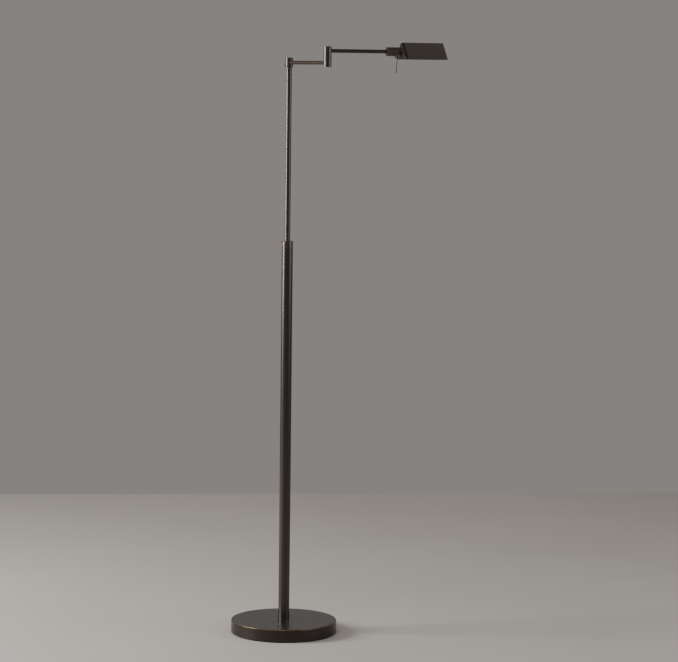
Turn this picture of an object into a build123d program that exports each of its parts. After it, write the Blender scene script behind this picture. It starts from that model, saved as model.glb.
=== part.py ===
from build123d import *
import math
import os

# Pharmacy floor lamp, millimetres.  Z is up, Z = 0 is the floor and the pole stands on X = Y = 0.
# The upper arm and the shade lie along +X; the lower arm points LOWER_ARM_ANGLE away from +X.

# ---- driving sizes -------------------------------------------------------------------------
BASE_D = 241.0
BASE_TOP = 30.0
LOWER_TUBE_D = 25.4
INNER_TUBE_D = 12.7
COLLAR_BOTTOM = 883.0
COLLAR_TOP = 898.0
LOWER_ARM_Z = 1299.3
UPPER_ARM_Z = 1325.5
ARM_TUBE_D = 8.4
ARM_TUBE_WALL = 1.0
ARM_VISIBLE = 128.0
LOWER_ARM_ANGLE = -71.3
BARREL_D = 17.6
CUP_D = 20.0
CUP_LENGTH = 32.1
SHADE_LENGTH = 91.5
SHADE_BOTTOM_W = 74.0
SHADE_ABOVE_AXIS = 20.6
SHADE_BELOW_AXIS = 16.6
SHADE_TOP_R = 6.0
SHADE_PAN_DEPTH = 8.0
SHADE_PAN_R = 5.0
SHADE_PAN_STEP = 0.5
SHEET = 1.2

# ---- fits ----------------------------------------------------------------------------------
RUN = 0.05      # radial gap of a running fit, and the gap left beside a washer
FREE = 0.3      # gap between parts that pass without touching
EDGE = 0.5      # general edge break
FINE_EDGE = 0.15

# ---- base ----------------------------------------------------------------------------------
PAD_D = 232.0
PAD_T = 2.0
BOARD_T = 2.0
COVER_T = 1.6
COVER_EDGE_R = 2.0
COVER_BOTTOM = 1.5
WEIGHT_D = BASE_D - 2 * COVER_T
WEIGHT_TOP = BASE_TOP - COVER_T
WEIGHT_BOTTOM = PAD_T + BOARD_T
POCKET_D = 150.0
POCKET_TOP = 18.0
NIPPLE_D = 10.0
NIPPLE_BORE = 6.5
NIPPLE_BOTTOM = 7.0
NIPPLE_TOP = 50.0
NUT_AF = 17.0
NUT_H = 6.0
BASE_WASHER_D = 34.0
BASE_WASHER_T = 2.5
GROMMET_Z = 12.0
GROMMET_D = 10.0
GROMMET_LIP_D = 13.0
GROMMET_LIP_T = 1.6
GROMMET_BORE = 6.4
GROMMET_LENGTH = 8.0
GROMMET_BORE_RUN = 46.0   # from the outside of the base in to the pocket

# ---- pole ----------------------------------------------------------------------------------
LOWER_TUBE_WALL = 1.5
LOWER_TUBE_ID = LOWER_TUBE_D - 2 * LOWER_TUBE_WALL
FOOT_TOP = 56.0
SPIGOT_BOTTOM = 871.0
BUSH_D = 16.4
BUSH_TOP = 893.0
INNER_TUBE_WALL = 1.2
INNER_TUBE_ID = INNER_TUBE_D - 2 * INNER_TUBE_WALL
GUIDE_H = 25.0
GUIDE_TOP = SPIGOT_BOTTOM - FREE
GUIDE_LIP = 2.0

# ---- hub and elbow -------------------------------------------------------------------------
PIN_D = 8.0
PIN_BORE = 4.4
TUBE_SEAT_R = 4.8
WIRE_HOLE_D = 5.0
HUB_BOTTOM = 1289.6
HUB_TOP = 1310.4
HUB_WASHER_D = 14.0
HUB_WASHER_T = 2.4
MAST_TOP = HUB_BOTTOM - HUB_WASHER_T
MAST_PLUG_DEPTH = 25.0
SPIGOT_TOP = 1306.0
SET_SCREW_D = 2.6
SET_SCREW_Z = 1292.5
SET_SCREW_OUT = 2.0
SET_SCREW_ANGLE = 163.0
HEX_AF = 1.3
HEX_DEPTH = 1.2
GROOVE_DEPTH = 1.0
CAP_D = 12.0
CAP_T = 2.4
ELBOW_BOTTOM = 1290.0
ELBOW_SPLIT = 1312.7
ELBOW_TOP = 1335.4
ELBOW_WASHER_D = 17.3
ELBOW_WASHER_T = 0.5
STUD_BOTTOM = 1291.5
STUD_TOP = 1332.8
CLIP_SEAT_Z = 1330.5
WAVE_WASHER_T = 0.7
CLIP_T = 0.8
CLIP_D = 11.6
CLIP_GROOVE_D = 6.8
ELBOW_CAP_D = 13.2
ELBOW_CAP_T = 2.0

# ---- head, measured along the head axis from the elbow axis ----------------------------------
CUP_START = BARREL_D / 2 + ARM_VISIBLE
CUP_END = CUP_START + CUP_LENGTH
COLLAR_SEAM = CUP_START + 14.5
TUBE_IN_COLLAR = 10.0
PIVOT_SHANK_D = 7.0
JOURNAL_D = 12.0
JOURNAL_LENGTH = 7.9
HEAD_WASHER_D = 16.0
HEAD_WASHER_T = 0.4
HOUSING_START = COLLAR_SEAM + HEAD_WASHER_T + RUN
HOUSING_WALL_END = COLLAR_SEAM + JOURNAL_LENGTH + 0.1
HOUSING_BORE = 15.0
HOUSING_NECK_D = 17.6
HEAD_SCREW_D = 2.2
HEAD_SCREW_AT = COLLAR_SEAM + 6.0
HEAD_SCREW_OUT = 4.2
NECK_LENGTH = 4.6
RING_NUT_D = 21.6
RING_NUT_T = 2.8
SHADE_START = CUP_END + SHADE_PAN_DEPTH
SHADE_END = SHADE_START + SHADE_LENGTH
SHADE_CORNER_R = 3.0

# ---- switch --------------------------------------------------------------------------------
SWITCH_LENGTH = 5.2
SWITCH_W = 6.0
SWITCH_START = HOUSING_WALL_END + FREE
SWITCH_TOP = -0.5
SWITCH_BOTTOM = -6.0
LEVER_AT = SWITCH_START + SWITCH_LENGTH / 2
LEVER_PIVOT_Z = -3.6
LEVER_D = 2.4
LEVER_EYE_D = 3.0
LEVER_EYE_W = 2.0
LEVER_TIP_Z = -46.8
LEVER_PIN_D = 1.2
LEVER_LEAN = 3.0
LEVER_SLOT_W = LEVER_D + 2 * FREE
LEVER_SLOT_L = 6.4
TERMINAL_LENGTH = 2.2
TERMINAL_T = 0.5
TERMINAL_H = 3.0

# ---- lamp holder and lamp --------------------------------------------------------------------
HOLDER_START = CUP_END - 3.7
HOLDER_END = SHADE_START + 15.0
HOLDER_SCREW_AT = HOLDER_START + 1.9
LAMP_PIN_PITCH = 9.0
LAMP_PIN_D = 0.8
CONTACT_D = 2.6
CONTACT_DEPTH = 8.0
LAMP_SEAT = HOLDER_END + 0.5
LAMP_GLASS_D = 13.0
LAMP_GLASS_T = 0.9
LAMP_PINCH = (8.0, 11.5, 4.0)
PINCH_STEP = 1.0
PINCH_RECESS = 2.0
LAMP_LENGTH = 42.0
FILAMENT_GAP = 7.0
FILAMENT_LENGTH = 16.0
FILAMENT_D = 1.4
FILAMENT_WIRE = 0.5
FILAMENT_PITCH = 4.4
FILAMENT_LEG = 5.8
REFLECTOR_T = 0.5
REFLECTOR_LIFT = 3.0
REFLECTOR_INSET = 1.5

LOWER_REACH = BARREL_D + ARM_VISIBLE
ANGLE = math.radians(LOWER_ARM_ANGLE)
ELBOW_X = LOWER_REACH * math.cos(ANGLE)
ELBOW_Y = LOWER_REACH * math.sin(ANGLE)


# ---- helpers -------------------------------------------------------------------------------
def disc(d, z0, z1, x=0.0, y=0.0):
    """Upright cylinder between two heights."""
    return Pos(x, y, (z0 + z1) / 2) * Cylinder(d / 2, z1 - z0)


def ring(d_out, d_in, z0, z1, x=0.0, y=0.0):
    """Upright tube between two heights."""
    return disc(d_out, z0, z1, x, y) - disc(d_in, z0 - 1, z1 + 1, x, y)


def rod(d, s0, s1, y=0.0, z=0.0):
    """Cylinder along X between two stations."""
    return Pos((s0 + s1) / 2, y, z) * Rot(0, 90, 0) * Cylinder(d / 2, s1 - s0)


def along_y(d, y0, y1, x=0.0, z=0.0):
    """Cylinder along Y between two stations."""
    return Pos(x, (y0 + y1) / 2, z) * Rot(90, 0, 0) * Cylinder(d / 2, y1 - y0)


def block(s0, s1, width, height, y=0.0, z=0.0):
    """Box along X between two stations."""
    return Pos((s0 + s1) / 2, y, z) * Box(s1 - s0, width, height)


def sleeve(d_out, d_in, s0, s1):
    """Tube along X between two stations."""
    return rod(d_out, s0, s1) - rod(d_in, s0 - 1, s1 + 1)


def on_lower_arm(shape):
    """Turns a shape made along +X at the pole into the lower-arm direction and height."""
    return Pos(0, 0, LOWER_ARM_Z) * Rot(0, 0, LOWER_ARM_ANGLE) * shape


def on_head(shape):
    """Moves a shape made along +X at the origin onto the upper-arm and head axis."""
    return Pos(ELBOW_X, ELBOW_Y, UPPER_ARM_Z) * shape


def hex_socket(d):
    """Upright key socket below Z = 0, for a screw of the given diameter."""
    hexagon = RegularPolygon(HEX_AF / 2, 6, major_radius=False)
    return Pos(0, 0, -HEX_DEPTH) * extrude(hexagon, d)


def end_circles(solid, radius):
    """The full circular edges of one radius on a solid."""
    circles = solid.edges().filter_by(GeomType.CIRCLE)
    return [e for e in circles if abs(e.radius - radius) < 0.01]


def save(name, shape):
    """Writes one node, every solid of it in the shared frame."""
    solids = shape.solids()
    body = solids[0] if len(solids) == 1 else Compound(children=list(solids))
    body.label = name
    export_step(body, f"parts/{name}.step")


# ---- base ----------------------------------------------------------------------------------
def base_cover():
    outer = disc(BASE_D, COVER_BOTTOM, BASE_TOP)
    rim = [e for e in end_circles(outer, BASE_D / 2) if e.center().Z > BASE_TOP - 1]
    outer = fillet(rim, COVER_EDGE_R)
    inner = disc(WEIGHT_D, COVER_BOTTOM - 1, WEIGHT_TOP)
    inner_rim = [e for e in end_circles(inner, WEIGHT_D / 2) if e.center().Z > WEIGHT_TOP - 1]
    inner = fillet(inner_rim, COVER_EDGE_R - COVER_T)
    pole_hole = disc(NIPPLE_D, WEIGHT_TOP - 1, BASE_TOP + 1)
    cord_hole = grommet_bore(GROMMET_D)
    return outer - inner - pole_hole - cord_hole


def grommet_bore(d):
    """Bore along +Y from the pocket out through the wall of the base, where the cord goes in."""
    return along_y(d, BASE_D / 2 - GROMMET_BORE_RUN, BASE_D / 2 + GROMMET_LIP_T, z=GROMMET_Z)


def base_weight():
    body = disc(WEIGHT_D, WEIGHT_BOTTOM, WEIGHT_TOP)
    top_rim = [e for e in end_circles(body, WEIGHT_D / 2) if e.center().Z > WEIGHT_TOP - 1]
    body = fillet(top_rim, COVER_EDGE_R - COVER_T)
    pocket = disc(POCKET_D, WEIGHT_BOTTOM - 1, POCKET_TOP)
    hole = disc(NIPPLE_D, POCKET_TOP - 1, WEIGHT_TOP + 1)
    return body - pocket - hole - grommet_bore(GROMMET_LIP_D)


def base_board():
    return disc(PAD_D, PAD_T, PAD_T + BOARD_T)


def base_pad():
    return disc(PAD_D, 0, PAD_T)


def base_washer():
    return ring(BASE_WASHER_D, NIPPLE_D, POCKET_TOP - BASE_WASHER_T, POCKET_TOP)


def base_nut():
    top = POCKET_TOP - BASE_WASHER_T
    hexagon = RegularPolygon(NUT_AF / 2, 6, major_radius=False)
    body = extrude(Pos(0, 0, top - NUT_H) * hexagon, NUT_H)
    cone = Pos(0, 0, top - NUT_H / 2) * Cylinder(NUT_AF * 0.56, NUT_H)
    cone = chamfer(cone.edges().filter_by(GeomType.CIRCLE), 0.8)
    return (body & cone) - disc(NIPPLE_D, top - NUT_H - 1, top + 1)


def base_nipple():
    body = disc(NIPPLE_D, NIPPLE_BOTTOM, NIPPLE_TOP)
    body = chamfer(body.edges().filter_by(GeomType.CIRCLE), 0.6)
    return body - disc(NIPPLE_BORE, NIPPLE_BOTTOM - 1, NIPPLE_TOP + 1)


def cord_grommet():
    wall_out = BASE_D / 2
    lip_end = wall_out + GROMMET_LIP_T
    barrel = along_y(GROMMET_D, wall_out - GROMMET_LENGTH, lip_end, z=GROMMET_Z)
    lip = along_y(GROMMET_LIP_D, wall_out - GROMMET_LIP_T, lip_end, z=GROMMET_Z)
    lip = fillet(lip.edges().filter_by(GeomType.CIRCLE).sort_by(Axis.Y)[-1], EDGE)
    bore = along_y(GROMMET_BORE, wall_out - 2 * GROMMET_LENGTH, wall_out + GROMMET_LENGTH, z=GROMMET_Z)
    return barrel + (lip - disc(BASE_D, 0, BASE_TOP)) - bore


# ---- pole ----------------------------------------------------------------------------------
def lower_tube():
    return ring(LOWER_TUBE_D, LOWER_TUBE_ID, BASE_TOP, COLLAR_BOTTOM)


def tube_foot():
    return ring(LOWER_TUBE_ID, NIPPLE_D, BASE_TOP, FOOT_TOP)


def top_collar():
    head = disc(LOWER_TUBE_D, COLLAR_BOTTOM, COLLAR_TOP)
    head = fillet(end_circles(head, LOWER_TUBE_D / 2), EDGE)
    spigot = disc(LOWER_TUBE_ID, SPIGOT_BOTTOM, COLLAR_BOTTOM + 1)
    bush_seat = disc(BUSH_D, SPIGOT_BOTTOM - 1, BUSH_TOP)
    mouth = disc(INNER_TUBE_D + 2 * FREE, BUSH_TOP - 1, COLLAR_TOP + 1)
    return head + spigot - bush_seat - mouth


def friction_bush():
    return ring(BUSH_D, INNER_TUBE_D + 2 * RUN, SPIGOT_BOTTOM, BUSH_TOP)


def inner_tube():
    return ring(INNER_TUBE_D, INNER_TUBE_ID, GUIDE_TOP - GUIDE_H + GUIDE_LIP, MAST_TOP)


def guide_plug():
    bottom = GUIDE_TOP - GUIDE_H
    body = disc(LOWER_TUBE_ID - 2 * RUN, bottom, GUIDE_TOP)
    body = chamfer(body.edges().filter_by(GeomType.CIRCLE), 0.8)
    seat = disc(INNER_TUBE_D, bottom + GUIDE_LIP, GUIDE_TOP + 1)
    bore = disc(INNER_TUBE_ID, bottom - 1, GUIDE_TOP + 1)
    return body - seat - bore


# ---- hub -----------------------------------------------------------------------------------
def hub_spigot():
    plug = disc(INNER_TUBE_ID, MAST_TOP - MAST_PLUG_DEPTH, MAST_TOP)
    pin = disc(PIN_D, MAST_TOP - 1, SPIGOT_TOP)
    half_groove = SET_SCREW_D / 2 + FREE
    groove_d = PIN_D - 2 * GROOVE_DEPTH
    groove = ring(PIN_D + 2, groove_d, SET_SCREW_Z - half_groove, SET_SCREW_Z + half_groove)
    bore = disc(PIN_BORE, MAST_TOP - MAST_PLUG_DEPTH - 1, SPIGOT_TOP + 1)
    window = on_lower_arm(Pos(PIN_D / 2, 0, 0) * Box(PIN_D, PIN_D + 2, WIRE_HOLE_D))
    return plug + pin - groove - bore - window


def hub_washer():
    body = ring(HUB_WASHER_D, PIN_D, MAST_TOP, HUB_BOTTOM - RUN)
    return fillet(end_circles(body, HUB_WASHER_D / 2), 0.3)


def at_hub_screw(shape):
    """Turns a shape made along +X to the height and angle of the hub set screw."""
    return Pos(0, 0, SET_SCREW_Z) * Rot(0, 0, SET_SCREW_ANGLE) * shape


def hub():
    body = disc(BARREL_D, HUB_BOTTOM, HUB_TOP)
    body = fillet(end_circles(body, BARREL_D / 2), EDGE)
    body -= disc(PIN_D + 2 * RUN, HUB_BOTTOM - 1, HUB_TOP - CAP_T)
    body -= disc(CAP_D, HUB_TOP - CAP_T, HUB_TOP + 1)
    body -= on_lower_arm(rod(ARM_TUBE_D, TUBE_SEAT_R, BARREL_D))
    body -= on_lower_arm(rod(WIRE_HOLE_D, 0, TUBE_SEAT_R + 1))
    return body - at_hub_screw(rod(SET_SCREW_D, 0, BARREL_D))


def hub_cap():
    body = disc(CAP_D, HUB_TOP - CAP_T, HUB_TOP)
    return chamfer(body.edges().filter_by(GeomType.CIRCLE).sort_by(Axis.Z)[-1], 0.3)


def hub_set_screw():
    tip = PIN_D / 2 - GROOVE_DEPTH + FREE
    head = BARREL_D / 2 + SET_SCREW_OUT
    body = rod(SET_SCREW_D, tip, head)
    body = chamfer(body.edges().filter_by(GeomType.CIRCLE), 0.3)
    return at_hub_screw(body - Pos(head, 0, 0) * Rot(0, 90, 0) * hex_socket(SET_SCREW_D))


# ---- arms and elbow ------------------------------------------------------------------------
def lower_arm_tube():
    bore = ARM_TUBE_D - 2 * ARM_TUBE_WALL
    return on_lower_arm(sleeve(ARM_TUBE_D, bore, TUBE_SEAT_R, LOWER_REACH - TUBE_SEAT_R))


def elbow_barrel(z0, z1, round_top):
    """One half of the elbow: its outer end rounded, its end at the split only just broken."""
    body = disc(BARREL_D, z0, z1, ELBOW_X, ELBOW_Y)
    high = body.edges().filter_by(GeomType.CIRCLE).sort_by(Axis.Z)[-1]
    body = fillet(high, EDGE if round_top else FINE_EDGE)
    low = body.edges().filter_by(GeomType.CIRCLE).sort_by(Axis.Z)[0]
    return fillet(low, FINE_EDGE if round_top else EDGE)


def elbow_lower():
    body = elbow_barrel(ELBOW_BOTTOM, ELBOW_SPLIT, round_top=False)
    body -= disc(PIN_D, STUD_BOTTOM, ELBOW_SPLIT + 1, ELBOW_X, ELBOW_Y)
    seat_end = LOWER_REACH - TUBE_SEAT_R
    body -= on_lower_arm(rod(ARM_TUBE_D, LOWER_REACH - BARREL_D, seat_end))
    return body - on_lower_arm(rod(WIRE_HOLE_D, seat_end - 1, LOWER_REACH))


def elbow_stud():
    body = disc(PIN_D, STUD_BOTTOM, STUD_TOP, ELBOW_X, ELBOW_Y)
    clip_bottom = CLIP_SEAT_Z + WAVE_WASHER_T
    body -= ring(PIN_D + 2, CLIP_GROOVE_D, clip_bottom, clip_bottom + CLIP_T, ELBOW_X, ELBOW_Y)
    body -= disc(PIN_BORE, LOWER_ARM_Z - 1, UPPER_ARM_Z + 1, ELBOW_X, ELBOW_Y)
    body -= on_lower_arm(rod(WIRE_HOLE_D, LOWER_REACH - PIN_D, LOWER_REACH))
    return body - on_head(rod(WIRE_HOLE_D, 0, PIN_D))


def elbow_washer():
    top = ELBOW_SPLIT + ELBOW_WASHER_T
    return ring(ELBOW_WASHER_D, PIN_D, ELBOW_SPLIT, top, ELBOW_X, ELBOW_Y)


def elbow_upper():
    bottom = ELBOW_SPLIT + ELBOW_WASHER_T + RUN
    body = elbow_barrel(bottom, ELBOW_TOP, round_top=True)
    body -= disc(PIN_D + 2 * RUN, bottom - 1, ELBOW_TOP, ELBOW_X, ELBOW_Y)
    body -= disc(ELBOW_CAP_D, CLIP_SEAT_Z - RUN, ELBOW_TOP + 1, ELBOW_X, ELBOW_Y)
    body -= on_head(rod(ARM_TUBE_D, TUBE_SEAT_R, BARREL_D))
    return body - on_head(rod(WIRE_HOLE_D, 0, TUBE_SEAT_R + 1))


def elbow_wave_washer():
    return ring(CLIP_D, PIN_D, CLIP_SEAT_Z, CLIP_SEAT_Z + WAVE_WASHER_T, ELBOW_X, ELBOW_Y)


def elbow_clip():
    bottom = CLIP_SEAT_Z + WAVE_WASHER_T
    body = ring(CLIP_D, CLIP_GROOVE_D, bottom, bottom + CLIP_T, ELBOW_X, ELBOW_Y)
    mouth = Pos(ELBOW_X, ELBOW_Y - CLIP_D / 2, bottom) * Box(CLIP_GROOVE_D - 1, CLIP_D, 4)
    return body - mouth


def elbow_cap():
    body = disc(ELBOW_CAP_D, ELBOW_TOP - ELBOW_CAP_T, ELBOW_TOP, ELBOW_X, ELBOW_Y)
    return chamfer(body.edges().filter_by(GeomType.CIRCLE).sort_by(Axis.Z)[-1], 0.3)


def upper_arm_tube():
    bore = ARM_TUBE_D - 2 * ARM_TUBE_WALL
    return on_head(sleeve(ARM_TUBE_D, bore, TUBE_SEAT_R, CUP_START + TUBE_IN_COLLAR))


# ---- head ----------------------------------------------------------------------------------
def head_collar():
    body = rod(CUP_D, CUP_START, COLLAR_SEAM)
    body = fillet(end_circles(body, CUP_D / 2), EDGE)
    body -= rod(ARM_TUBE_D, CUP_START - 1, CUP_START + TUBE_IN_COLLAR)
    return on_head(body - rod(PIVOT_SHANK_D, CUP_START, COLLAR_SEAM + 1))


def head_pivot():
    body = rod(PIVOT_SHANK_D, CUP_START + TUBE_IN_COLLAR, COLLAR_SEAM)
    body += rod(JOURNAL_D, COLLAR_SEAM, COLLAR_SEAM + JOURNAL_LENGTH)
    half_groove = HEAD_SCREW_D / 2 + FREE
    groove_d = JOURNAL_D - 2 * GROOVE_DEPTH
    groove = sleeve(JOURNAL_D + 2, groove_d, HEAD_SCREW_AT - half_groove, HEAD_SCREW_AT + half_groove)
    return on_head(body - groove - rod(PIN_BORE, CUP_START, CUP_END))


def head_washer():
    return on_head(sleeve(HEAD_WASHER_D, JOURNAL_D, COLLAR_SEAM, COLLAR_SEAM + HEAD_WASHER_T))


def below_head(d, z_in, z_out, at):
    """Upright rod hanging below the head axis at one station."""
    return Pos(at, 0, (z_in + z_out) / 2) * Cylinder(d / 2, z_in - z_out)


def socket_housing():
    body = rod(CUP_D, HOUSING_START, CUP_END)
    body = fillet(end_circles(body, CUP_D / 2), EDGE)
    body += rod(HOUSING_NECK_D, CUP_END - 1, CUP_END + NECK_LENGTH)
    body -= rod(JOURNAL_D + 2 * RUN, HOUSING_START - 1, HOUSING_WALL_END + 1)
    body -= rod(HOUSING_BORE, HOUSING_WALL_END, CUP_END + NECK_LENGTH + 1)
    body -= below_head(HEAD_SCREW_D, 0, -CUP_D, HEAD_SCREW_AT)
    slot_half = LEVER_SLOT_L / 2
    body -= block(LEVER_AT - slot_half, LEVER_AT + slot_half, LEVER_SLOT_W, CUP_D, z=-CUP_D / 2)
    body -= below_head(SET_SCREW_D, CUP_D, 0, HOLDER_SCREW_AT)
    return on_head(body)


def head_set_screw():
    tip = JOURNAL_D / 2 - GROOVE_DEPTH + FREE
    head = CUP_D / 2 + HEAD_SCREW_OUT
    body = below_head(HEAD_SCREW_D, -tip, -head, HEAD_SCREW_AT)
    body = chamfer(body.edges().filter_by(GeomType.CIRCLE), 0.3)
    return on_head(body - Pos(HEAD_SCREW_AT, 0, -head) * Rot(180, 0, 0) * hex_socket(HEAD_SCREW_D))


def shade_ring_nut():
    inner_face = CUP_END + SHEET
    body = rod(RING_NUT_D, inner_face, inner_face + RING_NUT_T)
    body = chamfer(end_circles(body, RING_NUT_D / 2), 0.4)
    body -= rod(HOUSING_NECK_D, inner_face - 1, inner_face + RING_NUT_T + 1)
    for angle in (0, 90, 180, 270):
        notch = Pos(inner_face + RING_NUT_T, RING_NUT_D / 2, 0) * Box(RING_NUT_T, 3, 3)
        body -= Rot(angle, 0, 0) * notch
    return on_head(body)


# ---- switch --------------------------------------------------------------------------------
def switch_body():
    middle = (SWITCH_TOP + SWITCH_BOTTOM) / 2
    height = SWITCH_TOP - SWITCH_BOTTOM
    body = block(SWITCH_START, SWITCH_START + SWITCH_LENGTH, SWITCH_W, height, z=middle)
    slot_top = LEVER_PIVOT_Z + LEVER_EYE_D / 2 + FREE
    slot_half = LEVER_EYE_D / 2 + 2 * FREE
    slot = block(LEVER_AT - slot_half, LEVER_AT + slot_half, LEVER_SLOT_W, height, z=slot_top - height / 2)
    return on_head(body - slot - at_pivot(LEVER_PIN_D, SWITCH_W + 2))


def at_pivot(d, length):
    """Rod along Y through the lever pivot."""
    return along_y(d, -length / 2, length / 2, x=LEVER_AT, z=LEVER_PIVOT_Z)


def switch_terminals():
    half = TERMINAL_LENGTH / 2
    z = SWITCH_TOP + TERMINAL_H / 2
    tabs = [block(LEVER_AT - half, LEVER_AT + half, TERMINAL_T, TERMINAL_H, side * SWITCH_W / 4, z)
            for side in (-1, 1)]
    return on_head(Compound(children=tabs))


def lever_pin():
    return on_head(at_pivot(LEVER_PIN_D, SWITCH_W))


def switch_lever():
    pivot = Pos(LEVER_AT, 0, LEVER_PIVOT_Z)
    stem = disc(LEVER_D, LEVER_TIP_Z - LEVER_PIVOT_Z, 0)
    tip = stem.edges().filter_by(GeomType.CIRCLE).sort_by(Axis.Z)[0]
    stem = fillet(tip, LEVER_D / 2 - 0.2)
    eye = at_pivot(LEVER_EYE_D, LEVER_EYE_W)
    bore = at_pivot(LEVER_PIN_D + 2 * RUN, LEVER_D + 2)
    return on_head(eye + pivot * Rot(0, LEVER_LEAN, 0) * stem - bore)


# ---- lamp holder and lamp --------------------------------------------------------------------
def lamp_pin_rods(d, s0, s1):
    """The pair of rods on the pin pitch of the lamp."""
    half = LAMP_PIN_PITCH / 2
    return [rod(d, s0, s1, y=side * half) for side in (-1, 1)]


def lamp_holder():
    body = rod(HOUSING_BORE, HOLDER_START, HOLDER_END)
    body = fillet(end_circles(body, HOUSING_BORE / 2), EDGE)
    for hole in lamp_pin_rods(CONTACT_D, HOLDER_END - CONTACT_DEPTH, HOLDER_END + 1):
        body -= hole
    length, width, height = LAMP_PINCH
    body -= block(HOLDER_END - PINCH_RECESS, HOLDER_END + 1, width + 1, height + 1)
    return on_head(body - below_head(SET_SCREW_D, CUP_D, HOUSING_BORE / 2 - 2, HOLDER_SCREW_AT))


def holder_contacts():
    outer = lamp_pin_rods(CONTACT_D, HOLDER_END - CONTACT_DEPTH, HOLDER_END - 2)
    inner = lamp_pin_rods(LAMP_PIN_D, HOLDER_END - CONTACT_DEPTH - 1, HOLDER_END)
    return on_head(Compound(children=[tube - hole for tube, hole in zip(outer, inner)]))


def holder_screw():
    body = below_head(SET_SCREW_D, CUP_D / 2 - 0.2, HOUSING_BORE / 2 - 2, HOLDER_SCREW_AT)
    return on_head(chamfer(body.edges().filter_by(GeomType.CIRCLE).sort_by(Axis.Z)[0], 0.3))


def lamp_glass():
    length, width, height = LAMP_PINCH
    tube_start = LAMP_SEAT + length
    straight = LAMP_LENGTH - length - LAMP_GLASS_D / 2
    outer = capsule(LAMP_GLASS_D / 2, tube_start, straight)
    inner = capsule(LAMP_GLASS_D / 2 - LAMP_GLASS_T, tube_start + LAMP_GLASS_T, straight - LAMP_GLASS_T)
    pinch = block(LAMP_SEAT, tube_start - PINCH_STEP, width, height)
    neck = block(tube_start - PINCH_STEP, tube_start + PINCH_STEP, width - 1, height)
    glass = outer - inner + pinch + neck
    for hole in lamp_pin_rods(LAMP_PIN_D, LAMP_SEAT - 2, LAMP_SEAT + 3):
        glass -= hole
    return on_head(glass)


def capsule(radius, start, straight):
    """Round-nosed cylinder along +X."""
    return rod(2 * radius, start, start + straight) + Pos(start + straight, 0, 0) * Sphere(radius)


def lamp_pins():
    return on_head(Compound(children=lamp_pin_rods(LAMP_PIN_D, HOLDER_END - 6, LAMP_SEAT + 3)))


def lamp_filament():
    start = LAMP_SEAT + LAMP_PINCH[0] + FILAMENT_GAP
    end = start + FILAMENT_LENGTH
    half = FILAMENT_PITCH / 2
    wire = FILAMENT_WIRE
    shape = rod(FILAMENT_D, start, end)
    for side in (-1, 1):
        shape += rod(wire, start - FILAMENT_LEG, end, y=side * half)
    for at in (start, end):
        shape += block(at - wire / 2, at + wire / 2, FILAMENT_PITCH + wire, wire)
    return on_head(shape)


# ---- shade ---------------------------------------------------------------------------------
def touch_angle_from(half_bottom, drop, ridge_r):
    """Angle above horizontal of the normal to the straight side."""
    to_corner = math.atan2(-drop, half_bottom)
    return to_corner + math.acos(ridge_r / math.hypot(half_bottom, drop))


def roof_profile(inset, lift=0.0):
    """Face of the shade's cross-section in Y and Z, pulled in by a distance, its foot lifted."""
    half_bottom = SHADE_BOTTOM_W / 2
    ridge_z = SHADE_ABOVE_AXIS - SHADE_TOP_R
    normal = touch_angle_from(half_bottom, ridge_z + SHADE_BELOW_AXIS, SHADE_TOP_R)
    ny = math.cos(normal)
    nz = math.sin(normal)
    r = SHADE_TOP_R - inset
    touch = (r * ny, ridge_z + r * nz)
    bottom_half = half_bottom - (inset + lift * nz) / ny
    bottom_z = lift - SHADE_BELOW_AXIS
    right = Line((bottom_half, bottom_z), touch)
    ridge = ThreePointArc(touch, (0, ridge_z + r), (-touch[0], touch[1]))
    left = Line((-touch[0], touch[1]), (-bottom_half, bottom_z))
    floor = Line((-bottom_half, bottom_z), (bottom_half, bottom_z))
    return make_face([right, ridge, left, floor])


def roof_bar(inset, s0, s1, lift=0.0):
    """Solid bar with the shade's cross-section between two stations."""
    face = Plane.YZ.offset(s0) * roof_profile(inset, lift)
    return extrude(face, s1 - s0)


def shade_shell():
    body = roof_bar(0, SHADE_START, SHADE_END)
    body -= roof_bar(SHEET, SHADE_START - 1, SHADE_END + 1)
    return on_head(body)


def pan(inset, lift, s0, radius):
    """Solid pan with the shade's cross-section, its face at s0 rounded over all round."""
    body = roof_bar(inset, s0, SHADE_START, lift)
    corners = body.edges().filter_by(Axis.X).group_by(Axis.Z)[0]
    body = fillet(corners, SHADE_CORNER_R)
    face_edges = body.faces().sort_by(Axis.X)[0].edges()
    return fillet(face_edges, radius)


def shade_end_inner():
    outer = pan(SHADE_PAN_STEP, 0, CUP_END, SHADE_PAN_R)
    hollow = pan(SHADE_PAN_STEP + SHEET, SHEET, CUP_END + SHEET, SHADE_PAN_R - SHEET)
    return on_head(outer - hollow - rod(HOUSING_NECK_D, CUP_END - 1, CUP_END + SHEET + 1))


def shade_end_outer():
    return on_head(roof_bar(SHEET, SHADE_END - SHEET, SHADE_END))


def reflector():
    start = SHADE_START + REFLECTOR_INSET
    end = SHADE_END - SHEET - REFLECTOR_INSET
    body = roof_bar(SHEET, start, end) - roof_bar(SHEET + REFLECTOR_T, start - 1, end + 1)
    below = block(start - 1, end + 1, SHADE_BOTTOM_W, 2 * REFLECTOR_LIFT, z=-SHADE_BELOW_AXIS)
    return on_head(body - below)


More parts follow.
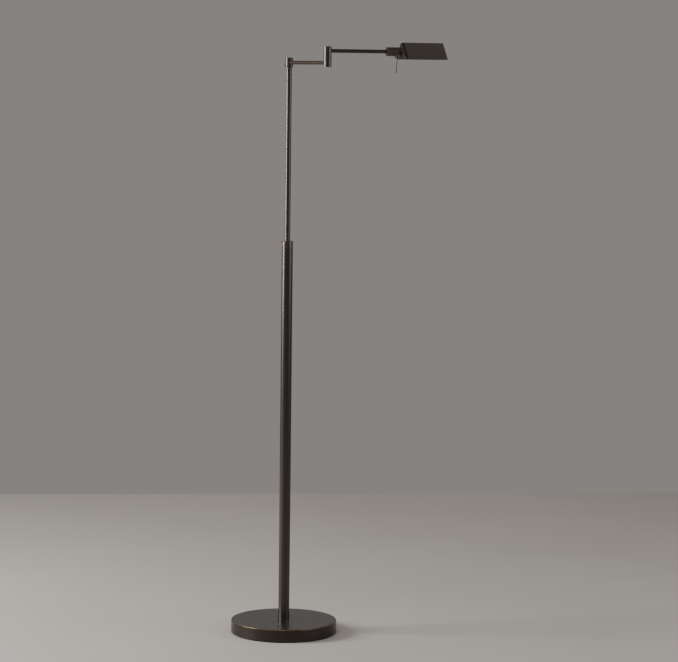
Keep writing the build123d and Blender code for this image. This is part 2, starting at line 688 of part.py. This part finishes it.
NODES = [
    base_cover, base_weight, base_board, base_pad, base_washer, base_nut, base_nipple, cord_grommet,
    lower_tube, tube_foot, top_collar, friction_bush,
    inner_tube, guide_plug, hub_spigot, hub_washer,
    hub, hub_cap, hub_set_screw, lower_arm_tube, elbow_lower, elbow_stud, elbow_washer,
    elbow_wave_washer, elbow_clip,
    elbow_upper, elbow_cap, upper_arm_tube, head_collar, head_pivot, head_washer,
    socket_housing, head_set_screw, shade_ring_nut, switch_body, switch_terminals, lever_pin,
    lamp_holder, holder_contacts, holder_screw, lamp_glass, lamp_pins, lamp_filament,
    shade_shell, shade_end_inner, shade_end_outer, reflector,
    switch_lever,
]

os.makedirs("parts", exist_ok=True)
for build in NODES:
    save(build.__name__, build())
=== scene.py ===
import math

import bpy
from mathutils import Matrix, Vector


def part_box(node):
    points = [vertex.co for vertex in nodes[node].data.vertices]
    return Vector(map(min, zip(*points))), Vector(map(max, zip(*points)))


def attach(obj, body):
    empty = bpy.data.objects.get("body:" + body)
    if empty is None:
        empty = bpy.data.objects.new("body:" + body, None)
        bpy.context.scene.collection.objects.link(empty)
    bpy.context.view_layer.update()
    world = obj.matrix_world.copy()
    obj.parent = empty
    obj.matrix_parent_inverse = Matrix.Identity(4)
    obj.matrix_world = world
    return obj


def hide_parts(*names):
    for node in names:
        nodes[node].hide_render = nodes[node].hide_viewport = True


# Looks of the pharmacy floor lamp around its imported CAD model.  Metres, Z up, floor at Z = 0.

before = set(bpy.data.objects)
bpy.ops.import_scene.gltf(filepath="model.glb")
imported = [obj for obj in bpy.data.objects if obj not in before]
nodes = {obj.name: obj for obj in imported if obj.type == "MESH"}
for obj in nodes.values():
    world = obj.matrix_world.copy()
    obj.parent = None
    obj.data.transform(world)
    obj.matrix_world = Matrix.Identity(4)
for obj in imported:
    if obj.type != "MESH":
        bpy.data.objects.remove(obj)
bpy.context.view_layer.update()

# ---- view ----------------------------------------------------------------------------------
VIEW_AZIMUTH = math.radians(-16.75)
VIEW_DISTANCE = 5.855
VIEW_HEIGHT = 1.274
AIM_RIGHT = 0.1190
AIM_HEIGHT = 0.6947
VIEW_ROLL = math.radians(0.675)
LENS_MM = 137.7
SENSOR_MM = 36.0
FLOOR_BACK = 1.97
FLOOR_TURN = 0.072

# ---- filament, metres -----------------------------------------------------------------------
WIRE_R = 0.00014
FILAMENT_COIL = 0.016
FILAMENT_TURNS = 18
POINTS_PER_TURN = 14

# ---- colours -------------------------------------------------------------------------------
BRONZE_DARK = (0.024, 0.019, 0.017)
BRONZE = (0.037, 0.029, 0.026)
# Warmer bronze: the mottle's tone and the collar's own tone; as the body of the arms and lever it is
# painted light.
BRONZE_WARM = (0.058, 0.043, 0.036)
# Lighter bronze for the shade: painted light, standing in for the light its sloped panels catch.
BRONZE_SHADE_PAINTED_LIGHT = (0.110, 0.093, 0.082)
# Brass at edges and round the base rim: partly rubbed metal, partly painted highlight.
BRASS_RUB_AND_HIGHLIGHT = (0.34, 0.23, 0.125)
FLOOR_PALE = (0.50, 0.467, 0.432)
STUDIO_GREY = (0.84, 0.79, 0.75)
STUDIO_STRENGTH = 0.29
IRON_BLACK = (0.020, 0.020, 0.021)
IRON_BROWN = (0.048, 0.040, 0.034)
OXIDE_BLACK = (0.012, 0.012, 0.013)
OXIDE_WORN = (0.16, 0.155, 0.15)
BRASS_CLEAN = (0.62, 0.44, 0.17)
BRASS_TARNISHED = (0.30, 0.20, 0.09)
FELT_DEEP = (0.012, 0.012, 0.013)
FELT_WORN = (0.035, 0.034, 0.033)
BOARD_LIGHT = (0.16, 0.10, 0.055)
BOARD_DARK = (0.09, 0.055, 0.03)
CLAY_LIGHT = (0.74, 0.71, 0.64)
CLAY_DARK = (0.66, 0.62, 0.54)
CLAY_SPECK = (0.30, 0.26, 0.20)
ENAMEL_CLEAN = (0.82, 0.815, 0.79)
ENAMEL_DUSTY = (0.70, 0.68, 0.64)
ENAMEL_EDGE = (0.45, 0.42, 0.37)
QUARTZ_CLEAR = (0.97, 0.98, 0.99)
QUARTZ_HAZY = (0.90, 0.93, 0.95)
TUNGSTEN_LIGHT = (0.34, 0.34, 0.36)
TUNGSTEN_DARK = (0.20, 0.20, 0.22)
RUBBER_BLACK = (0.018, 0.018, 0.018)
RUBBER_GREY = (0.03, 0.029, 0.028)
PHENOLIC_LIGHT = (0.045, 0.026, 0.016)
PHENOLIC_DARK = (0.03, 0.018, 0.012)
ZINC = (0.56, 0.56, 0.55)
NYLON_BLACK = (0.016, 0.016, 0.017)
NYLON_GREY = (0.026, 0.026, 0.027)


# ---- node helpers --------------------------------------------------------------------------
class Shader:
    """A Principled material put together by short calls."""

    def __init__(self, name):
        self.material = bpy.data.materials.new(name)
        self.material.use_nodes = True
        self.tree = self.material.node_tree
        self.bsdf = self.tree.nodes["Principled BSDF"]
        self.coords = self.tree.nodes.new("ShaderNodeTexCoord").outputs["Object"]

    def node(self, kind, **settings):
        made = self.tree.nodes.new(kind)
        for key, value in settings.items():
            setattr(made, key, value)
        return made

    def feed(self, value, socket):
        """Links an output, or sets a plain value."""
        if isinstance(value, bpy.types.NodeSocket):
            self.tree.links.new(value, socket)
        elif isinstance(value, tuple) and len(value) == 3 and socket.type == "RGBA":
            socket.default_value = (*value, 1.0)
        else:
            socket.default_value = value

    def set(self, **values):
        """Sets plain values on the Principled sockets, with _ for a space."""
        for key, value in values.items():
            self.feed(value, self.bsdf.inputs[key.replace("_", " ")])

    def radius_and_height(self):
        """The point as its distance from the object's Z axis and its height."""
        split = self.node("ShaderNodeSeparateXYZ")
        self.feed(self.coords, split.inputs[0])
        squares = [self.math("MULTIPLY", split.outputs[i], split.outputs[i]) for i in (0, 1)]
        joined = self.node("ShaderNodeCombineXYZ")
        self.feed(self.math("SQRT", self.math("ADD", *squares), 0.0), joined.inputs[0])
        self.feed(split.outputs[2], joined.inputs[2])
        return joined.outputs[0]

    def noise(self, scale, detail=4.0, roughness=0.55, stretch=(1.0, 1.0, 1.0),
              seed=0.0, around_z=False):
        """Noise over the object, stretched along its axes, or ringed round its Z axis."""
        mapping = self.node("ShaderNodeMapping")
        self.feed(self.radius_and_height() if around_z else self.coords, mapping.inputs["Vector"])
        mapping.inputs["Scale"].default_value = stretch
        mapping.inputs["Location"].default_value = (seed, seed * 0.7, seed * 1.3)
        made = self.node("ShaderNodeTexNoise")
        self.feed(mapping.outputs["Vector"], made.inputs["Vector"])
        made.inputs["Scale"].default_value = scale
        made.inputs["Detail"].default_value = detail
        made.inputs["Roughness"].default_value = roughness
        return made.outputs["Fac"]

    def span(self, value, low, high, to_low=0.0, to_high=1.0):
        """Maps a range to another, clamped."""
        made = self.node("ShaderNodeMapRange", clamp=True)
        self.feed(value, made.inputs["Value"])
        made.inputs["From Min"].default_value = low
        made.inputs["From Max"].default_value = high
        made.inputs["To Min"].default_value = to_low
        made.inputs["To Max"].default_value = to_high
        return made.outputs["Result"]

    def mix(self, amount, first, second):
        """Colour between two colours."""
        made = self.node("ShaderNodeMix", data_type="RGBA")
        self.feed(amount, made.inputs["Factor"])
        self.feed(first, made.inputs["A"])
        self.feed(second, made.inputs["B"])
        return next(s for s in made.outputs if s.type == "RGBA")

    def math(self, operation, first, second):
        made = self.node("ShaderNodeMath", operation=operation)
        self.feed(first, made.inputs[0])
        self.feed(second, made.inputs[1])
        return made.outputs[0]

    def edge(self, radius, low=0.02, high=0.25):
        """1 on outer and inner edges, 0 on flat or gently curved faces."""
        rounded = self.node("ShaderNodeBevel", samples=6)
        rounded.inputs["Radius"].default_value = radius
        flat = self.node("ShaderNodeNewGeometry").outputs["Normal"]
        dot = self.node("ShaderNodeVectorMath", operation="DOT_PRODUCT")
        self.feed(rounded.outputs["Normal"], dot.inputs[0])
        self.feed(flat, dot.inputs[1])
        return self.span(dot.outputs["Value"], 1.0 - low, 1.0 - high)

    def slope(self, start, full, hold, end):
        """1 where the face's upward tilt lies between full and hold, fading out by start and end."""
        normal = self.node("ShaderNodeSeparateXYZ")
        self.feed(self.node("ShaderNodeNewGeometry").outputs["Normal"], normal.inputs[0])
        rise = self.span(normal.outputs[2], start, full)
        return self.math("MULTIPLY", rise, self.span(normal.outputs[2], end, hold))

    def bump(self, height, strength, distance):
        made = self.node("ShaderNodeBump")
        made.inputs["Strength"].default_value = strength
        made.inputs["Distance"].default_value = distance
        self.feed(height, made.inputs["Height"])
        self.feed(made.outputs["Normal"], self.bsdf.inputs["Normal"])


# ---- materials -----------------------------------------------------------------------------
def lacquer_colour(s, body):
    """Bronze lacquer colour with a faint mottle, and the cloud that made it."""
    mottle = s.span(s.noise(scale=14.0, detail=5.0, roughness=0.6, seed=3.1), 0.35, 0.68, 0.0, 0.25)
    cloud = s.span(s.noise(scale=55.0, detail=3.0, roughness=0.5, seed=7.7), 0.30, 0.75)
    colour = s.mix(mottle, body, BRONZE_WARM)
    return s.mix(s.math("MULTIPLY", cloud, 0.15), colour, BRONZE_DARK), cloud


def lacquer_finish(s, grain, cloud, rough, coat):
    """Satin metal under a smoother clear coat."""
    rough_low, rough_high = rough
    height = s.math("ADD", grain, s.math("MULTIPLY", cloud, 0.4))
    s.set(Roughness=s.span(height, 0.4, 1.0, rough_low, rough_high))
    s.set(Metallic=0.7, Coat_Weight=coat, Coat_Roughness=0.22)
    s.bump(height, strength=0.05, distance=0.00001)


def bronze(name, stretch=(1.0, 1.0, 1.0), body=BRONZE, rough=(0.29, 0.36),
           coat=0.5, rub_and_highlight_amount=0.55, whole=0.25):
    """Dark bronze lacquer over metal: a fine grain along one axis, brass at the edges that is partly
    rubbed metal and partly a painted highlight along edges and creases.
    """
    s = Shader(name)
    colour, cloud = lacquer_colour(s, body)
    # Edge brass: partly rub wear, partly painted highlight lines along edges and creases.
    rub_and_highlight_noise = s.span(s.noise(scale=120.0, detail=4.0, roughness=0.7, seed=5.3), 0.35, 0.65, whole, 1.0)
    rub_and_edge_highlight = s.math("MULTIPLY", s.math("MULTIPLY", s.edge(0.0007), rub_and_highlight_noise), rub_and_highlight_amount)
    s.set(Base_Color=s.mix(rub_and_edge_highlight, colour, BRASS_RUB_AND_HIGHLIGHT))
    grain = s.noise(scale=900.0, detail=3.0, roughness=0.6, stretch=stretch, seed=1.9)
    lacquer_finish(s, grain, cloud, rough, coat)
    return s.material


def spun_bronze():
    """The base: lacquer over spun metal, brass round its upper rim that is partly rubbed metal and
    partly a painted highlight, glossier on its flat top.
    """
    s = Shader("bronze_base")
    colour, cloud = lacquer_colour(s, BRONZE)
    rub_and_highlight_noise = s.span(s.noise(scale=60.0, detail=3.0, roughness=0.6, seed=5.3), 0.3, 0.7, 0.35, 0.6)
    # Brass line round the upper rim: partly rubbed metal, partly a painted highlight on the rounded
    # edge.
    rim = s.slope(0.35, 0.55, 0.85, 0.95)
    s.set(Base_Color=s.mix(s.math("MULTIPLY", rim, rub_and_highlight_noise), colour, BRASS_RUB_AND_HIGHLIGHT))
    top = s.slope(0.90, 0.98, 1.00, 1.10)
    coat = s.span(top, 0.0, 1.0, 0.05, 0.6)
    rings = s.noise(scale=700.0, detail=3.0, roughness=0.6, seed=1.9, around_z=True)
    lacquer_finish(s, rings, cloud, (0.30, 0.40), coat)
    return s.material


def cast_iron():
    s = Shader("cast_iron")
    grit = s.noise(scale=700.0, detail=6.0, roughness=0.7)
    patch = s.span(s.noise(scale=25.0, detail=4.0, roughness=0.6, seed=2.0), 0.35, 0.7)
    s.set(Base_Color=s.mix(patch, IRON_BLACK, IRON_BROWN))
    s.set(Roughness=s.span(grit, 0.3, 0.7, 0.55, 0.85), Metallic=0.4)
    s.bump(grit, strength=0.5, distance=0.0006)
    return s.material


def plated_steel(name, stretch=(1.0, 1.0, 1.0), tint=ZINC):
    s = Shader(name)
    turned = s.noise(scale=1400.0, detail=2.0, roughness=0.5, stretch=stretch)
    haze = s.span(s.noise(scale=90.0, detail=4.0, roughness=0.6, seed=4.0), 0.3, 0.7)
    dull = tuple(0.72 * c for c in tint)
    s.set(Base_Color=s.mix(haze, tint, dull), Metallic=1.0)
    s.set(Roughness=s.span(turned, 0.3, 0.7, 0.22, 0.42))
    s.bump(turned, strength=0.15, distance=0.00003)
    return s.material


def black_oxide():
    s = Shader("black_oxide")
    grain = s.noise(scale=1800.0, detail=3.0, roughness=0.6)
    worn = s.edge(0.0003)
    s.set(Base_Color=s.mix(worn, OXIDE_BLACK, OXIDE_WORN), Metallic=0.9)
    s.set(Roughness=s.span(grain, 0.3, 0.7, 0.30, 0.50))
    s.bump(grain, strength=0.2, distance=0.00003)
    return s.material


def turned_brass():
    s = Shader("turned_brass")
    rings = s.noise(scale=1200.0, detail=2.0, roughness=0.5, stretch=(1.0, 1.0, 6.0))
    tarnish = s.span(s.noise(scale=140.0, detail=5.0, roughness=0.65, seed=6.0), 0.4, 0.7)
    s.set(Base_Color=s.mix(tarnish, BRASS_CLEAN, BRASS_TARNISHED), Metallic=1.0)
    s.set(Roughness=s.span(rings, 0.3, 0.7, 0.20, 0.40))
    s.bump(rings, strength=0.2, distance=0.00004)
    return s.material


def moulded(name, light, dark, rough, grain_scale=1500.0, grain_depth=0.00005, speckle=0.5):
    """Moulded plastic, rubber or phenolic: fine grain, slight tone change and shine."""
    s = Shader(name)
    grain = s.noise(grain_scale, 3.0, 0.6)
    tone = s.span(s.noise(scale=60.0, detail=3.0, roughness=0.5, seed=8.0), 0.3, 0.7)
    s.set(Base_Color=s.mix(tone, light, dark))
    s.set(Roughness=s.span(grain, 0.3, 0.7, rough, rough + 0.15))
    s.bump(grain, speckle, grain_depth)
    return s.material


def felt():
    """Needle felt: short tangled fibres and a soft sheen."""
    s = Shader("felt")
    fibre = s.noise(scale=1600.0, detail=8.0, roughness=0.8)
    clump = s.span(s.noise(scale=220.0, detail=5.0, roughness=0.7, seed=9.0), 0.3, 0.7)
    s.set(Base_Color=s.mix(clump, FELT_DEEP, FELT_WORN))
    s.set(Roughness=s.span(fibre, 0.3, 0.7, 0.85, 1.0), Sheen_Weight=0.5, Sheen_Roughness=0.6)
    s.bump(fibre, strength=0.8, distance=0.0008)
    return s.material


def fibreboard():
    s = Shader("fibreboard")
    fibre = s.noise(scale=600.0, detail=6.0, roughness=0.7)
    blotch = s.span(s.noise(scale=40.0, detail=4.0, roughness=0.6, seed=2.5), 0.3, 0.7)
    s.set(Base_Color=s.mix(blotch, BOARD_LIGHT, BOARD_DARK))
    s.set(Roughness=s.span(fibre, 0.3, 0.7, 0.70, 0.90))
    s.bump(fibre, strength=0.4, distance=0.0003)
    return s.material


def steatite():
    """Unglazed lamp-holder ceramic with fine dark specks."""
    s = Shader("steatite")
    speck = s.span(s.noise(scale=2200.0, detail=2.0, roughness=0.5), 0.66, 0.72)
    tone = s.span(s.noise(scale=90.0, detail=3.0, roughness=0.5, seed=3.0), 0.3, 0.7)
    clay = s.mix(tone, CLAY_LIGHT, CLAY_DARK)
    s.set(Base_Color=s.mix(s.math("MULTIPLY", speck, 0.4), clay, CLAY_SPECK))
    s.set(Roughness=s.span(s.noise(700.0), 0.3, 0.7, 0.45, 0.65))
    s.bump(s.noise(scale=900.0, detail=3.0, roughness=0.6, seed=1.0), strength=0.3, distance=0.00008)
    return s.material


def white_enamel():
    """Baked white enamel with a light orange peel, greyer towards its edges."""
    s = Shader("white_enamel")
    peel = s.noise(scale=420.0, detail=2.0, roughness=0.4)
    dust = s.span(s.noise(scale=45.0, detail=5.0, roughness=0.6, seed=5.0), 0.4, 0.75)
    clean = s.mix(dust, ENAMEL_CLEAN, ENAMEL_DUSTY)
    s.set(Base_Color=s.mix(s.edge(0.0008), clean, ENAMEL_EDGE))
    s.set(Roughness=s.span(peel, 0.3, 0.7, 0.22, 0.34), Coat_Weight=0.3, Coat_Roughness=0.15)
    s.bump(peel, strength=0.15, distance=0.0002)
    return s.material


def quartz_glass():
    s = Shader("quartz_glass")
    haze = s.span(s.noise(scale=160.0, detail=3.0, roughness=0.5), 0.35, 0.75)
    s.set(Base_Color=s.mix(haze, QUARTZ_CLEAR, QUARTZ_HAZY))
    s.set(Roughness=s.span(haze, 0.0, 1.0, 0.01, 0.06), Transmission_Weight=1.0, IOR=1.46)
    s.bump(s.noise(scale=90.0, detail=2.0, roughness=0.4, seed=4.0), strength=0.08, distance=0.0002)
    return s.material


def tungsten():
    s = Shader("tungsten")
    grain = s.noise(scale=3000.0, detail=3.0, roughness=0.6)
    s.set(Base_Color=s.mix(s.span(grain, 0.3, 0.7), TUNGSTEN_LIGHT, TUNGSTEN_DARK))
    s.set(Roughness=s.span(grain, 0.3, 0.7, 0.30, 0.50), Metallic=1.0)
    s.bump(grain, strength=0.2, distance=0.00002)
    return s.material


def floor_surface():
    """Plain pale floor with barely any tone change."""
    s = Shader("stage_floor")
    tone = s.span(s.noise(scale=2.0, detail=3.0, roughness=0.5), 0.3, 0.7)
    s.set(Base_Color=s.mix(tone, FLOOR_PALE, tuple(0.94 * c for c in FLOOR_PALE)), Roughness=0.6)
    return s.material


# ---- lamp filament --------------------------------------------------------------------------
def wire(spline_points, curve):
    """Adds one open run of wire to a curve."""
    spline = curve.splines.new("POLY")
    spline.points.add(len(spline_points) - 1)
    for point, at in zip(spline.points, spline_points):
        point.co = (*at, 1.0)


def add_filament(material):
    """The coiled filament on its two support wires, in the place of the plain CAD one."""
    low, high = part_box("lamp_filament")
    axis_y = (low.y + high.y) / 2
    axis_z = (low.z + high.z) / 2
    coil_r = (high.z - low.z) / 2 - WIRE_R
    legs_y = (low.y + WIRE_R, high.y - WIRE_R)
    coil_start = high.x - FILAMENT_COIL
    curve = bpy.data.curves.new("filament_coil", "CURVE")
    curve.dimensions = "3D"
    curve.bevel_depth = WIRE_R
    curve.bevel_resolution = 2
    steps = FILAMENT_TURNS * POINTS_PER_TURN
    coil = []
    for i in range(steps + 1):
        angle = math.tau * i / POINTS_PER_TURN
        x = coil_start + (FILAMENT_COIL - WIRE_R) * i / steps
        coil.append((x, axis_y + coil_r * math.cos(angle), axis_z + coil_r * math.sin(angle)))
    wire([(low.x, legs_y[0], axis_z), (coil_start, legs_y[0], axis_z), coil[0]], curve)
    wire(coil, curve)
    wire([coil[-1], (high.x - WIRE_R, legs_y[1], axis_z), (low.x, legs_y[1], axis_z)], curve)
    obj = bpy.data.objects.new("filament_coil", curve)
    obj.data.materials.append(material)
    bpy.context.scene.collection.objects.link(obj)
    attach(obj, "head")
    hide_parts("lamp_filament")


# ---- which node wears which material --------------------------------------------------------
ALONG_X = (0.03, 1.0, 1.0)
ALONG_Z = (1.0, 1.0, 0.03)
TURNED_Z = (1.0, 1.0, 6.0)
TURNED_X = (6.0, 1.0, 1.0)


def dress(names, material):
    """Gives each named CAD node one material."""
    for name in names:
        slots = nodes[name].data.materials
        slots.clear()
        slots.append(material)


def dress_all():
    dress(["base_cover"], spun_bronze())
    dress(["lower_tube", "inner_tube"], bronze("bronze_pole", ALONG_Z))
    dress(["top_collar"], bronze("bronze_collar", TURNED_Z, body=BRONZE_WARM, rub_and_highlight_amount=0.8, whole=0.6))
    dress(["hub", "hub_cap", "elbow_lower", "elbow_upper", "elbow_cap"],
          bronze("bronze_barrel", TURNED_Z))
    # The arms and lever get the lighter warm bronze as painted light, brightening the weakly lit upper
    # arm.
    dress(["lower_arm_tube", "upper_arm_tube", "switch_lever"],
          bronze("bronze_arm_painted_light", ALONG_X, body=BRONZE_WARM, rough=(0.22, 0.28), coat=0.2))
    dress(["head_collar", "socket_housing"],
          bronze("bronze_cup", TURNED_X, body=BRONZE_WARM, rough=(0.34, 0.44)))
    # The shade gets a lighter copy of the bronze: painted light for the brightness of its panels.
    dress(["shade_shell", "shade_end_outer"],
          bronze("bronze_shade_painted_light", body=BRONZE_SHADE_PAINTED_LIGHT, rough=(0.42, 0.50), coat=0.2))
    dress(["shade_end_inner"], bronze("bronze_pan", rough=(0.55, 0.65), coat=0.0, rub_and_highlight_amount=0.0))
    dress(["base_weight"], cast_iron())
    dress(["base_board"], fibreboard())
    dress(["base_pad"], felt())
    zinc = plated_steel("zinc_steel")
    dress(["base_washer", "base_nut", "base_nipple", "tube_foot"], zinc)
    dress(["elbow_wave_washer", "elbow_clip"], zinc)
    dress(["shade_ring_nut", "lever_pin", "lamp_pins"], plated_steel("zinc_turned", TURNED_X))
    dress(["hub_set_screw", "head_set_screw", "holder_screw"], black_oxide())
    dress(["hub_spigot", "elbow_stud", "head_pivot", "switch_terminals", "holder_contacts"],
          turned_brass())
    nylon = moulded("black_nylon", NYLON_BLACK, NYLON_GREY, 0.42)
    dress(["friction_bush", "guide_plug", "hub_washer", "elbow_washer", "head_washer"], nylon)
    dress(["cord_grommet"], moulded("black_rubber", RUBBER_BLACK, RUBBER_GREY, 0.62))
    dress(["switch_body"], moulded("brown_phenolic", PHENOLIC_LIGHT, PHENOLIC_DARK, 0.30))
    dress(["lamp_holder"], steatite())
    dress(["lamp_glass"], quartz_glass())
    add_filament(tungsten())
    dress(["reflector"], white_enamel())


# ---- stage ---------------------------------------------------------------------------------
def across_view(right, up, towards_camera):
    """Point given from the pole's foot, to the right of, above and towards the camera."""
    x = Vector((math.cos(VIEW_AZIMUTH), math.sin(VIEW_AZIMUTH), 0.0))
    y = Vector((math.sin(VIEW_AZIMUTH), -math.cos(VIEW_AZIMUTH), 0.0))
    return x * right + y * towards_camera + Vector((0.0, 0.0, up))


def point_at(obj, target, roll=0.0):
    towards = (target - obj.location).to_track_quat("-Z", "Y")
    turn = towards.to_matrix().to_4x4() @ Matrix.Rotation(roll, 4, "Z")
    obj.matrix_world = Matrix.Translation(obj.location) @ turn


def add_camera():
    data = bpy.data.cameras.new("camera")
    data.lens = LENS_MM
    data.sensor_width = SENSOR_MM
    data.clip_end = 100.0
    camera = bpy.data.objects.new("camera", data)
    bpy.context.scene.collection.objects.link(camera)
    camera.location = across_view(0.0, VIEW_HEIGHT, VIEW_DISTANCE)
    point_at(camera, across_view(AIM_RIGHT, AIM_HEIGHT, 0.0), VIEW_ROLL)
    bpy.context.scene.camera = camera


def panel(name, corners, material):
    mesh = bpy.data.meshes.new(name)
    mesh.from_pydata([tuple(c) for c in corners], [], [tuple(range(len(corners)))])
    obj = bpy.data.objects.new(name, mesh)
    obj.data.materials.append(material)
    bpy.context.scene.collection.objects.link(obj)


def add_stage():
    """Pale floor, its back edge turned a little so that it stays level in the tilted view."""
    wide, near = 9.0, 9.0
    back_left = -FLOOR_BACK + FLOOR_TURN * wide
    back_right = -FLOOR_BACK - FLOOR_TURN * wide
    floor = [across_view(-wide, 0.0, near), across_view(wide, 0.0, near),
             across_view(wide, 0.0, back_right), across_view(-wide, 0.0, back_left)]
    panel("stage_floor", floor, floor_surface())


def softbox(name, at, target, width, height, power, colour):
    """Rectangular light, its sides in metres and its power in watts, turned to a point."""
    data = bpy.data.lights.new(name, "AREA")
    data.shape = "RECTANGLE"
    data.size = width
    data.size_y = height
    data.energy = power
    data.color = colour
    lamp = bpy.data.objects.new(name, data)
    bpy.context.scene.collection.objects.link(lamp)
    lamp.location = at
    point_at(lamp, target)


def add_lights():
    """Soft light, strong from the left and weaker from the right and above, in a grey studio."""
    arms = Vector((0.0, 0.0, 1.2))
    base = Vector((0.0, 0.0, 0.2))
    softbox("key_left", across_view(-2.5, 1.35, 0.25), arms,
            width=0.9, height=1.5, power=115.0, colour=(1.0, 0.98, 0.95))
    softbox("fill_right", across_view(2.3, 1.35, 0.9), arms,
            width=1.4, height=1.5, power=20.0, colour=(0.95, 0.97, 1.0))
    softbox("front_top", across_view(-0.8, 3.2, 3.0), base,
            width=2.0, height=1.6, power=42.0, colour=(1.0, 1.0, 1.0))
    world = bpy.data.worlds.new("studio")
    world.use_nodes = True
    background = world.node_tree.nodes["Background"]
    background.inputs["Color"].default_value = (*STUDIO_GREY, 1.0)
    background.inputs["Strength"].default_value = STUDIO_STRENGTH
    bpy.context.scene.world = world


dress_all()
add_camera()
add_stage()
add_lights()
